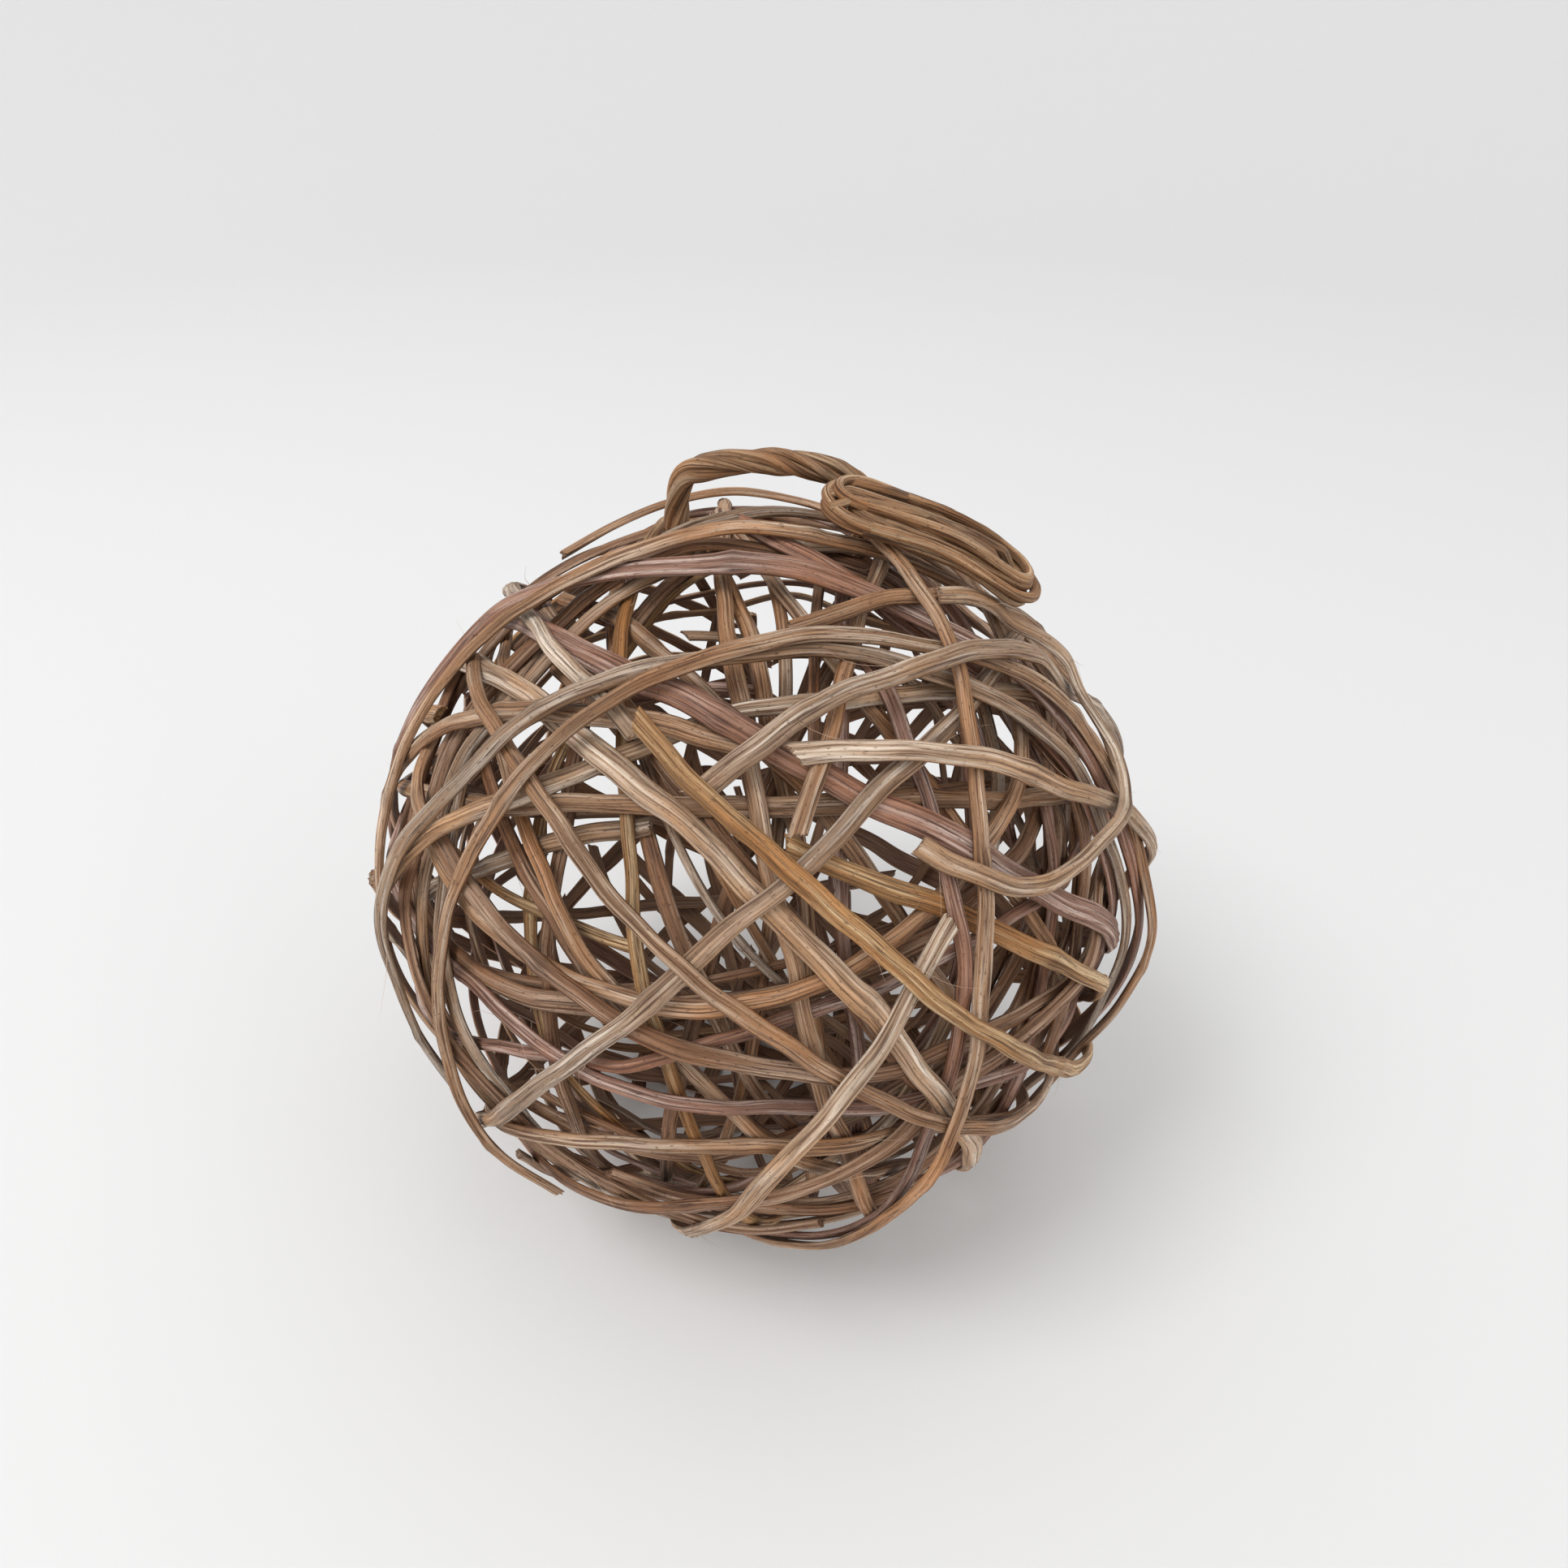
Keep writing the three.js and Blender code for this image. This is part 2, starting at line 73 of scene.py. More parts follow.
# Slow wandering numbers between about -1 and 1, one for each place given in metres.
def wander(places, wavelength, dice):
    total = np.zeros(len(places))
    for octave, weight in ((1.0, 0.6), (1.9, 0.3), (3.7, 0.15)):
        turn = fullTurn * octave * places / wavelength
        total += weight * np.sin(turn * dice.uniform(0.8, 1.2) + dice.uniform(0, 6.28))
    return total


def arcLengths(line):
    steps = np.linalg.norm(np.diff(line, axis=0), axis=1)
    return np.concatenate([[0], np.cumsum(steps)])


# Materials

# The colours of one bark: its pale ridge streaks, partly a painted highlight, the wood between them and
# the dark grooves, which also paint shade into the hollows.
barkLooks = {
    "tan_bark": {
        "paleAndHighlight": (0.66, 0.50, 0.37),
        "body": (0.385, 0.222, 0.122),
        "groove": (0.085, 0.036, 0.017),
    },
    "grey_bark": {
        "paleAndHighlight": (0.68, 0.57, 0.47),
        "body": (0.355, 0.240, 0.158),
        "groove": (0.080, 0.040, 0.023),
    },
    "mauve_bark": {
        "paleAndHighlight": (0.64, 0.48, 0.41),
        "body": (0.335, 0.180, 0.125),
        "groove": (0.075, 0.031, 0.019),
    },
    "orange_bark": {
        "paleAndHighlight": (0.66, 0.47, 0.27),
        "body": (0.40, 0.212, 0.085),
        "groove": (0.095, 0.040, 0.013),
    },
    "pale_bark": {
        "paleAndHighlight": (0.78, 0.66, 0.54),
        "body": (0.465, 0.315, 0.205),
        "groove": (0.105, 0.053, 0.029),
    },
    "brown_bark": {
        "paleAndHighlight": (0.50, 0.34, 0.235),
        "body": (0.255, 0.134, 0.072),
        "groove": (0.058, 0.024, 0.012),
    },
    "handle_bark": {
        "paleAndHighlight": (0.58, 0.40, 0.25),
        "body": (0.300, 0.160, 0.076),
        "groove": (0.055, 0.022, 0.009),
    },
    "lashing_bark": {
        "paleAndHighlight": (0.60, 0.41, 0.25),
        "body": (0.310, 0.162, 0.074),
        "groove": (0.055, 0.021, 0.009),
    },
}
barkGrain = {
    # waves to the metre along and across, detail, and how far the noise is moved along
    "fibre": (60, 2400, 4, 3.1),
    "line": (26, 1150, 3, 5.3),
    "streak": (11, 480, 4, 7.7),
    "patch": (13, 60, 3, 11.3),
    "speck": (380, 1400, 2, 17.9),
    "noiseRoughness": 0.62,
    "roughness": (0.42, 0.72),
    "fibreBump": (0.8, 0.00018),  # strength and depth in metres
    "lineBump": (0.9, 0.00045),
    "warmer": (1.10, 0.86, 0.60),  # a warm patch is the body colour times this
    "shade": (0.38, 1.82),  # darkest and lightest stretch of a vine
    # the inner face's colour: partly its own darker wood, partly painted shade
    "innerFace": (0.190, 0.098, 0.052),
}


def newMaterial(name):
    material = bpy.data.materials.new(name)
    material.use_nodes = True
    nodes = material.node_tree.nodes
    return material, nodes, material.node_tree.links, nodes["Principled BSDF"]


# Noise drawn out along the grain, as barkGrain sets it.
def grainNoise(nodes, links, grain, kind):
    along, across, detail, offset = barkGrain[kind]
    stretch = nodes.new("ShaderNodeMapping")
    stretch.inputs["Scale"].default_value = (along, across, 1)
    stretch.inputs["Location"].default_value = (offset, 1.7 * offset, 0)
    links.new(grain, stretch.inputs["Vector"])
    noise = nodes.new("ShaderNodeTexNoise")
    noise.noise_dimensions = "2D"
    noise.inputs["Scale"].default_value = 1
    noise.inputs["Detail"].default_value = detail
    noise.inputs["Roughness"].default_value = barkGrain["noiseRoughness"]
    links.new(stretch.outputs["Vector"], noise.inputs["Vector"])
    return noise.outputs["Fac"]


def remap(nodes, links, value, low, high, newLow=0.0, newHigh=1.0):
    ramp = nodes.new("ShaderNodeMapRange")
    ramp.inputs["From Min"].default_value = low
    ramp.inputs["From Max"].default_value = high
    ramp.inputs["To Min"].default_value = newLow
    ramp.inputs["To Max"].default_value = newHigh
    links.new(value, ramp.inputs["Value"])
    return ramp.outputs["Result"]


def mathNode(nodes, links, operation, first, second):
    node = nodes.new("ShaderNodeMath")
    node.operation = operation
    for socket, value in zip(node.inputs, (first, second)):
        if isinstance(value, (int, float)):
            socket.default_value = value
        else:
            links.new(value, socket)
    return node.outputs["Value"]


def mixColours(nodes, links, factor, first, second, blend="MIX"):
    mix = nodes.new("ShaderNodeMix")
    mix.data_type = "RGBA"
    mix.blend_type = blend
    for socket, value in ((mix.inputs[0], factor), (mix.inputs[6], first), (mix.inputs[7], second)):
        if isinstance(value, tuple):
            socket.default_value = value + (1,) if len(value) == 3 else value
        elif isinstance(value, (int, float)):
            socket.default_value = value
        else:
            links.new(value, socket)
    return mix.outputs[2]


# Ridged vine bark. The mesh carries its grain (metres along and across) and three marks:
# red is the lightness of the place with a painted highlight on a strip's middle, green is the inner
# face, painted darker partly as shade, and blue is the groove's depth, where shade is painted.
def vineBark(name, look):
    material, nodes, links, shader = newMaterial(name)
    grain = nodes.new("ShaderNodeUVMap")
    grain.uv_map = "grain"
    grain = grain.outputs["UV"]
    marks = nodes.new("ShaderNodeVertexColor")
    marks.layer_name = "marks"
    parts = nodes.new("ShaderNodeSeparateColor")
    links.new(marks.outputs["Color"], parts.inputs["Color"])
    lightness, inner, groove = parts.outputs

    fibre = grainNoise(nodes, links, grain, "fibre")
    line = grainNoise(nodes, links, grain, "line")
    streak = grainNoise(nodes, links, grain, "streak")
    patch = grainNoise(nodes, links, grain, "patch")
    speck = grainNoise(nodes, links, grain, "speck")

    warm = tuple(min(1, body * gain) for body, gain in zip(look["body"], barkGrain["warmer"]))
    warmShare = remap(nodes, links, patch, 0.46, 0.68, 0, 0.85)
    colour = mixColours(nodes, links, warmShare, look["body"], warm)
    # Pale streaks: partly the bark's own silvery streaks, partly a painted highlight.
    paleAndHighlightShare = remap(nodes, links, streak, 0.47, 0.62)
    paleAndHighlightGate = remap(nodes, links, patch, 0.60, 0.40, 0.25, 1.0)
    paleAndHighlightShare = mathNode(nodes, links, "MULTIPLY", paleAndHighlightShare, paleAndHighlightGate)
    colour = mixColours(nodes, links, paleAndHighlightShare, colour, look["paleAndHighlight"])
    shade = remap(nodes, links, streak, 0.46, 0.30, 0, 0.55)
    colour = mixColours(nodes, links, shade, colour, look["groove"])
    # Painted shade darkens the hollows between the ridges where the blue mark is deep and the line noise
    # is low; it joins the bark's own dark cracks.
    paintedGrooveShade = mathNode(nodes, links, "MULTIPLY", groove, remap(nodes, links, line, 0.60, 0.42))
    cracksAndGrooveShade = mathNode(nodes, links, "MAXIMUM", remap(nodes, links, line, 0.43, 0.36), paintedGrooveShade)
    colour = mixColours(nodes, links, remap(nodes, links, cracksAndGrooveShade, 0, 1, 0, 0.88), colour, look["groove"])
    fine = remap(nodes, links, fibre, 0.50, 0.32, 0, 0.5)
    colour = mixColours(nodes, links, fine, colour, look["groove"])
    pits = remap(nodes, links, speck, 0.64, 0.72, 0, 0.7)
    colour = mixColours(nodes, links, pits, colour, look["groove"])
    # The flat inner face is painted darker: partly the vine's own darker inner wood, partly painted
    # shade.
    innerFaceShare = remap(nodes, links, line, 0.38, 0.60)
    pithAndShade = mixColours(nodes, links, innerFaceShare, look["groove"], barkGrain["innerFace"])
    colour = mixColours(nodes, links, inner, colour, pithAndShade)
    scale = nodes.new("ShaderNodeCombineColor")
    for socket in scale.inputs:
        links.new(remap(nodes, links, lightness, 0, 1, *barkGrain["shade"]), socket)
    colour = mixColours(nodes, links, 1.0, colour, scale.outputs["Color"], "MULTIPLY")
    links.new(colour, shader.inputs["Base Color"])

    low, high = barkGrain["roughness"]
    links.new(remap(nodes, links, fibre, 0.65, 0.35, low, high), shader.inputs["Roughness"])
    shader.inputs["Specular IOR Level"].default_value = 0.42
    shader.inputs["IOR"].default_value = 1.45

    normal = None
    for height, (strength, depth) in ((line, barkGrain["lineBump"]), (fibre, barkGrain["fibreBump"])):
        bump = nodes.new("ShaderNodeBump")
        bump.inputs["Strength"].default_value = strength
        bump.inputs["Distance"].default_value = depth
        links.new(height, bump.inputs["Height"])
        if normal:
            links.new(normal, bump.inputs["Normal"])
        normal = bump.outputs["Normal"]
    links.new(normal, shader.inputs["Normal"])
    return material


barkMaterials = {name: vineBark(name, look) for name, look in barkLooks.items()}
print("bark materials made:", len(barkMaterials))


# Meshes

endLook = {
    "marks": (0.62, 0.35, 0.0),  # the cut face of a vine, as its lightness, inner face and groove
    # the cut face grows darker towards its rim: painted shade
    "rimShade": 0.5,
    "grainSpread": 40,
}


# The four-sided faces between the rings of a vine, and the grain at their corners.
def wallFaces(rings, grain, closed):
    rows, points = rings.shape[:2]
    row = np.arange(rows if closed else rows - 1)[:, None]
    column = np.arange(points)[None, :]
    nextRow = (row + 1) % rows
    nextColumn = (column + 1) % points
    corners = [row * points + column, row * points + nextColumn,
               nextRow * points + nextColumn, nextRow * points + column]
    quads = np.stack(np.broadcast_arrays(*corners), axis=-1).reshape(-1, 4)
    across = np.append(grain[0, :, 1], grain[0, 0, 1] + grain[0, 1, 1] - grain[0, 0, 1])
    grainRow = np.minimum(row + 1, rows - 1)
    uvCorners = [
        np.stack(np.broadcast_arrays(grain[place, 0, 0], across[side]), -1)
        for place, side in ((row, column), (row, column + 1), (grainRow, column + 1), (grainRow, column))
    ]
    return quads, np.stack(uvCorners, axis=2).reshape(-1, 2)


# A fan of triangles that closes one end ring, from the vertex number first on.
def endFan(ring, first, atStart):
    points = len(ring)
    corners = np.vstack([ring, ring.mean(0)])
    here = first + np.arange(points)
    there = first + (np.arange(points) + 1) % points
    middle = np.full(points, first + points)
    fan = np.stack((there, here, middle) if atStart else (here, there, middle), axis=-1)
    flat = corners - corners[-1]
    radial = np.linalg.norm(flat, axis=1) * endLook["grainSpread"]
    spread = np.stack([radial, flat @ unit(ring[0] - ring[points // 2])], -1)
    marks = np.tile(endLook["marks"], (points + 1, 1))
    marks[:-1, 2] = endLook["rimShade"]
    return corners, fan, spread[(fan - first).reshape(-1)], marks


# Every visible piece is bark of one kind and rides with the ball.
def placePiece(name, mesh, slot):
    piece = bpy.data.objects.new(name, mesh)
    bpy.context.scene.collection.objects.link(piece)
    mesh.materials.append(barkMaterials[slot])
    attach(piece, "root")
    return piece


# One vine as a mesh. Its rings are rows x points x 3, with grain and marks for each point, and
# both ends are closed unless it runs back into itself.
def vineMesh(name, rings, grain, marks, slot, closed=False):
    rows, points = rings.shape[:2]
    vertices = rings.reshape(-1, 3)
    colours = marks.reshape(-1, 3)
    quads, uvCorners = wallFaces(rings, grain, closed)
    faces, loops, totals = [quads], [uvCorners], np.full(len(quads), 4)
    if not closed:
        for start in (0, (rows - 1) * points):
            ring = vertices[start:start + points]
            corners, fan, spread, endMarks = endFan(ring, len(vertices), start == 0)
            vertices = np.vstack([vertices, corners])
            colours = np.vstack([colours, endMarks])
            faces.append(fan)
            loops.append(spread)
            totals = np.append(totals, np.full(points, 3))
    mesh = bpy.data.meshes.new(name)
    mesh.vertices.add(len(vertices))
    mesh.vertices.foreach_set("co", vertices.astype(np.float32).ravel())
    indices = np.concatenate([face.ravel() for face in faces])
    mesh.loops.add(len(indices))
    mesh.loops.foreach_set("vertex_index", indices.astype(np.int32))
    mesh.polygons.add(len(totals))
    starts = np.concatenate([[0], np.cumsum(totals)[:-1]])
    mesh.polygons.foreach_set("loop_start", starts.astype(np.int32))
    mesh.polygons.foreach_set("use_smooth", np.ones(len(totals), bool))
    layer = mesh.uv_layers.new(name="grain")
    layer.uv.foreach_set("vector", np.concatenate(loops).astype(np.float32).ravel())
    paint = mesh.color_attributes.new("marks", "FLOAT_COLOR", "POINT")
    rgba = np.hstack([np.clip(colours, 0, 1), np.ones((len(colours), 1))])
    paint.data.foreach_set("color", rgba.astype(np.float32).ravel())
    mesh.update()
    mesh.validate()
    return placePiece(name, mesh, slot)


# The outline across a strip: x from 1 to -1 over the ridged back, then along the flat face.
def stripOutline(settings, dice):
    backPoints, facePoints = settings["backPoints"], settings["facePoints"]
    angle = np.linspace(0, math.pi, backPoints)
    x = np.cos(angle)
    crown = np.sin(angle) ** settings["squareness"]
    ridges = dice.integers(*settings["ridges"])
    ripple = 0.5 - 0.5 * np.cos(fullTurn * (ridges * (x + 1) / 2 + dice.uniform(-0.12, 0.12)))
    ripple = ripple * (0.6 + 0.4 * np.sin(angle))
    x = np.append(x, np.linspace(-0.94, 0.94, facePoints))
    crown = np.append(crown, np.full(facePoints, 0.0))
    ripple = np.append(ripple, np.zeros(facePoints))
    face = np.append(np.zeros(backPoints), np.ones(facePoints))
    face[0] = face[backPoints - 1] = 0.4
    return x, crown, ripple, face


stripShape = {
    "backPoints": 19,
    "facePoints": 5,
    "rowsPerSpan": 12,
    "squareness": 0.72,  # 1 is a half ellipse, less is flatter on top
    "fullness": 1.18,  # of the CAD strip's thickness
    "ridges": (4, 7),
    "grooveDepth": 0.00038,
    "widthWander": 0.11,
    "rollWander": 0.16,
    "sway": 0.0011,  # metres to either side of the CAD strip's line
    "nodeEvery": 0.16,  # metres between the swellings where leaves grew
    "nodeSwelling": 0.14,
    "endSlant": 0.0035,
}


# What all split vines share, thick or thin, in metres and shares
splitVine = {
    "rollWave": 0.19,  # from one turn of the wandering to the next
    "widthWave": 0.11,
    "leanWave": 0.23,
    "grooveWave": 0.05,
    "toneWave": 0.13,
    "lean": 0.16,  # one edge of the back stands higher by this
    "grooveChange": 0.35,
    "hollow": 0.12,  # of the flat face
    "knotLength": 0.0032,
    "knotRise": 0.0005,
    "knotTone": 0.16,
    "tear": 0.0007,  # unevenness of a cut end
    "toneChange": 0.11,
    "underside": 0.00005,  # the ball is pressed flat where it stands
}


# Rings round a strip from its middle line, outward directions, half widths and thickness.
def stripRings(line, outward, half, thick, settings, dice):
    rows = len(line)
    places = arcLengths(line)
    along = unit(np.gradient(line, axis=0))
    side = unit(np.cross(along, outward))
    outward = np.cross(side, along)
    roll = settings["rollWander"] * wander(places, splitVine["rollWave"], dice)
    turned = side * np.cos(roll)[:, None] + outward * np.sin(roll)[:, None]
    raised = outward * np.cos(roll)[:, None] - side * np.sin(roll)[:, None]
    x, crown, ripple, face = stripOutline(settings, dice)
    half = half * (1 + settings["widthWander"] * wander(places, splitVine["widthWave"], dice))
    knots = np.zeros(rows)
    place = dice.uniform(0.03, settings["nodeEvery"])
    while place < places[-1] - 0.02:
        knots += np.exp(-(((places - place) / splitVine["knotLength"]) ** 2))
        place += settings["nodeEvery"] * dice.uniform(0.7, 1.4)
    half = half * (1 + settings["nodeSwelling"] * knots)
    lean = 1 + splitVine["lean"] * wander(places, splitVine["leanWave"], dice)[:, None] * x[None, :]
    change = 1 + splitVine["grooveChange"] * wander(places, splitVine["grooveWave"], dice)
    depth = settings["grooveDepth"] * change * (1 - 0.7 * knots)
    height = thick[:, None] * (crown[None, :] * lean - 0.5)
    height += (splitVine["knotRise"] * knots)[:, None] * crown[None, :]
    height -= depth[:, None] * ripple[None, :] * (face[None, :] < 0.5)
    height += splitVine["hollow"] * thick[:, None] * (1 - x[None, :] ** 2) * face[None, :]
    rings = line[:, None] + turned[:, None] * (half[:, None] * x[None, :])[..., None]
    rings += raised[:, None] * height[..., None]
    for rowsHere, amount in ((slice(0, 2), (1.0, 0.5)), (slice(-2, None), (0.5, 1.0))):
        slant = settings["endSlant"] * dice.uniform(-1, 1) * x
        slant = slant + dice.uniform(-splitVine["tear"], splitVine["tear"], len(x)) * (face < 0.5)
        push = np.array(amount)[:, None] * slant[None, :]
        rings[rowsHere] += along[rowsHere][:, None] * push[..., None]
    rings[..., 2] = np.maximum(rings[..., 2], splitVine["underside"])
    around = arcLengths(np.stack([x * half.mean(), crown * thick.mean()], -1)) + dice.uniform(0, 50)
    start = dice.uniform(0, 90)
    grain = np.stack(np.broadcast_arrays((start + places)[:, None], around[None, :]), -1)
    tone = 0.5 + splitVine["toneChange"] * wander(places, splitVine["toneWave"], dice)
    tone = tone + dice.uniform(-0.08, 0.08) - splitVine["knotTone"] * knots
    # Besides the vine's tone, the red mark paints a highlight: the middle of the back a little lighter,
    # its edges a little darker.
    marks = np.stack(np.broadcast_arrays(
        tone[:, None] + 0.05 * (crown - 0.5)[None, :], 0.9 * face[None, :], 0.85 * ripple[None, :]), -1)
    # The blue mark sets where the bark paints shade into the hollows of the ridged back.
    return rings, grain, marks.copy()


# The middle line, outward directions, half widths and thickness that a CAD strip was made with.
def sectionsOf(node):
    work = bmesh.new()
    work.from_mesh(frame["nodes"][node].data)
    bmesh.ops.remove_doubles(work, verts=work.verts, dist=0.0001)
    points = np.array([vertex.co[:] for vertex in work.verts]) - ballCentre
    work.free()
    axis = np.linalg.svd(points - points.mean(0))[2][2]
    level = unit(points[0] - axis * (points[0] @ axis))
    slope = np.cross(axis, level)
    angles = np.arctan2(points @ slope, points @ level)
    order = np.argsort(angles)
    gaps = np.diff(np.append(angles[order], angles[order[0]] + fullTurn))
    order = np.roll(order, -(gaps.argmax() + 1))
    sections = points[order].reshape(-1, 4, 3)
    far = np.argsort(np.linalg.norm(sections, axis=2), axis=1)
    inner = np.take_along_axis(sections, far[:, :2, None], axis=1)
    outer = np.take_along_axis(sections, far[:, 2:, None], axis=1)
    middle = sections.mean(1)
    outward = unit(outer.mean(1) - inner.mean(1))
    half = np.linalg.norm(inner[:, 0] - inner[:, 1], axis=1) / 2
    thick = np.linalg.norm(outer.mean(1) - inner.mean(1), axis=1)
    return middle + ballCentre, outward, half, thick


# Winding strips

laidVines = []  # every strip laid so far: directions from the centre, radii and half widths


def remember(line, half):
    offset = line - ballCentre
    radius = np.linalg.norm(offset, axis=1)
    laidVines.append((offset / radius[:, None], radius, half))


def windStrips():
    dice = np.random.default_rng(41)
    for node in sorted(frame["nodes"]):
        if "vine" not in node:
            continue
        middle, outward, half, thick = sectionsOf(node)
        rows = stripShape["rowsPerSpan"]
        line = smoothThrough(middle, rows)
        outward = unit(smoothThrough(outward, rows))
        half = smoothThrough(half, rows)
        thick = smoothThrough(thick, rows) * stripShape["fullness"]
        sway = stripShape["sway"] * wander(arcLengths(line), 0.09, dice)
        line = line + unit(np.cross(np.gradient(line, axis=0), outward)) * sway[:, None]
        rings, grain, marks = stripRings(line, outward, half, thick, stripShape, dice)
        piece = vineMesh(node + "_strip", rings, grain, marks, slotOf[node])
        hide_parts(node)
        remember(line, half)
    print("strips wound:", len(laidVines))


windStrips()


# Thin inner vines, which run inside every strip they meet

innerVines = {
    "count": 30,
    "width": (0.0030, 0.0055),
    "thickness": 0.0020,
    "sweep": (150, 300),
    "shift": 0.6,  # radians off a great circle, at most
    "wandering": 0.035,  # radians
    "step": 0.0034,
    "clearance": 0.0016,  # from the middle of a strip to the vine inside it
    "deepest": 0.119,  # from the ball's centre
    "backPoints": 11,
    "facePoints": 3,
    "squareness": 0.75,
    "ridges": (3, 5),
    "grooveDepth": 0.00022,
    "widthWander": 0.12,
    "rollWander": 0.2,
    "nodeEvery": 0.12,
    "nodeSwelling": 0.18,
    "endSlant": 0.002,
    "barks": ("brown_bark", "brown_bark", "mauve_bark", "tan_bark", "grey_bark", "orange_bark"),
}


def smoothed(values, reach, rounds):
    kernel = np.hanning(2 * reach + 3)[1:-1]
    kernel /= kernel.sum()
    for _ in range(rounds):
        values = np.convolve(np.pad(values, reach, mode="edge"), kernel, mode="valid")
    return values


# The radius just inside everything that a new vine would cross, drawn smooth.
def radiusInside(directions, half, thick):
    limit = np.full(len(directions), wallRadius - 0.003)
    depth = innerVines["clearance"] + thick / 2
    for others, radius, otherHalf in laidVines:
        near = directions @ others.T
        reach = np.cos((otherHalf + half + 0.0008) / wallRadius)
        below = np.where(near > reach[None, :], radius[None, :] - depth, 1)
        limit = np.minimum(limit, below.min(1))
    padded = np.pad(limit, 4, mode="edge")
    lowest = np.lib.stride_tricks.sliding_window_view(padded, 9).min(1)
    return np.maximum(smoothed(lowest, 5, 3), innerVines["deepest"])


def windInnerVines():
    dice = np.random.default_rng(7)
    for number in range(innerVines["count"]):
        axis = unit(dice.normal(size=3))
        level = unit(np.cross(axis, dice.normal(size=3)))
        slope = np.cross(axis, level)
        shift = dice.uniform(-innerVines["shift"], innerVines["shift"])
        sweep = math.radians(dice.uniform(*innerVines["sweep"]))
        rows = int(sweep * wallRadius / innerVines["step"])
        angle = np.linspace(0, sweep, rows)
        tilt = shift + innerVines["wandering"] * wander(angle * wallRadius, 0.5, dice)
        ring = np.cos(angle)[:, None] * level + np.sin(angle)[:, None] * slope
        directions = np.cos(tilt)[:, None] * ring + np.sin(tilt)[:, None] * axis
        half = dice.uniform(*innerVines["width"]) / 2
        thick = innerVines["thickness"]
        radius = radiusInside(directions, half, thick)
        line = ballCentre + directions * radius[:, None]
        halves, thicks = np.full(rows, half), np.full(rows, thick)
        rings, grain, marks = stripRings(line, directions, halves, thicks, innerVines, dice)
        bark = innerVines["barks"][number % len(innerVines["barks"])]
        vineMesh(f"inner_vine_{number + 1}", rings, grain, marks, bark)
        remember(line, halves)
    print("inner vines wound:", innerVines["count"])


windInnerVines()


# Stray fibres, hair-thin, that lift off the edges of the strips

fibres = {
    "count": 190,
    "length": (0.006, 0.020),
    "lift": (0.05, 0.4),  # share of its length that a fibre rises off the ball
    "drift": (0.1, 0.6),  # and turns away from its strip
    "radius": 0.00011,
    "taper": 0.7,
    "sides": 3,
    "rows": 9,
    "marks": (0.5, 0.0, 0.0, 1.0),
    "bark": "tan_bark",
}


def addFibres():
    dice = np.random.default_rng(77)
    vertices, faces = [], []
    rows, sides = fibres["rows"], fibres["sides"]
    for _ in range(fibres["count"]):
        directions, radii, half = laidVines[dice.integers(len(laidVines) - innerVines["count"])]
        place = dice.integers(3, len(directions) - 4)
        outward = directions[place]
        along = unit(directions[place + 1] - directions[place - 1]) * dice.choice([-1, 1])
        side = np.cross(outward, along) * dice.choice([-1, 1])
        start = ballCentre + outward * (radii[place] + 0.0002) + side * half[place] * 0.9
        length = dice.uniform(*fibres["length"])
        share = np.linspace(0, 1, rows)
        lift, drift = dice.uniform(*fibres["lift"]), dice.uniform(*fibres["drift"])
        curl = (share**2)[:, None] * (lift * outward + drift * side)
        line = start + length * (share[:, None] * along + curl)
        line += 0.0005 * np.sin(share * dice.uniform(3, 9))[:, None] * side
        line[:, 2] = np.maximum(line[:, 2], 0.0003)
        radius = fibres["radius"] * (1 - fibres["taper"] * share)
        first = len(vertices) * rows
        for turn in np.arange(sides) * fullTurn / sides:
            around = outward * math.cos(turn) + side * math.sin(turn)
            vertices.append(line + radius[:, None] * around)
        for row in range(rows - 1):
            for number in range(sides):
                here = first + number * rows + row
                beside = first + (number + 1) % sides * rows + row
                faces.append((here, here + 1, beside + 1, beside))
    mesh = bpy.data.meshes.new("stray_fibres")
    mesh.from_pydata(np.concatenate(vertices).tolist(), [], faces)
    paint = mesh.color_attributes.new("marks", "FLOAT_COLOR", "POINT")
    paint.data.foreach_set("color", np.tile(fibres["marks"], len(mesh.vertices)))
    placePiece("stray_fibres", mesh, fibres["bark"])
    print("fibres lifted:", fibres["count"])


addFibres()


# Handle: four round vines twisted into a rope that arches from foot to foot

handle = {
    "leftFoot": (-0.026, 0.012, 0.147),  # from the ball's centre
    "rightFoot": (0.040, 0.009, 0.145),
    "rise": 0.022,
    "fullness": 0.5,  # below 1 the arch is squarer than an ellipse
    "depth": 0.018,  # how far the rope goes on into the ball
    "strands": 4,
    "strandRadius": (0.00175, 0.0023),
    "spread": 0.0025,
    "turns": 1.9,
    "points": 14,
    "rows": 150,
}


def handleLine():
    left, right = np.array(handle["leftFoot"]), np.array(handle["rightFoot"])
    middle = (left + right) / 2
    points = [left * (1 - handle["depth"] / np.linalg.norm(left))]
    for angle in np.linspace(0, math.pi, 9):
        point = middle - (right - middle) * math.cos(angle)
        if 0 < angle < math.pi:
            point[2] += handle["rise"] * math.sin(angle) ** handle["fullness"]
        points.append(point)
    points.append(right * (1 - handle["depth"] / np.linalg.norm(right)))
    line = smoothThrough(np.array(points), 24)
    lengths = arcLengths(line)
    even = np.linspace(0, lengths[-1], handle["rows"])
    return ballCentre + np.stack([np.interp(even, lengths, line[:, k]) for k in range(3)], -1)


strandShape = {
    "ridges": (4, 7),
    "ridgeDepth": 0.00014,
    "unevenness": 0.07,
    "ovalness": 0.05,
    "knots": 2,
    "knotLength": 0.0025,
    "knotSwelling": 0.1,
}


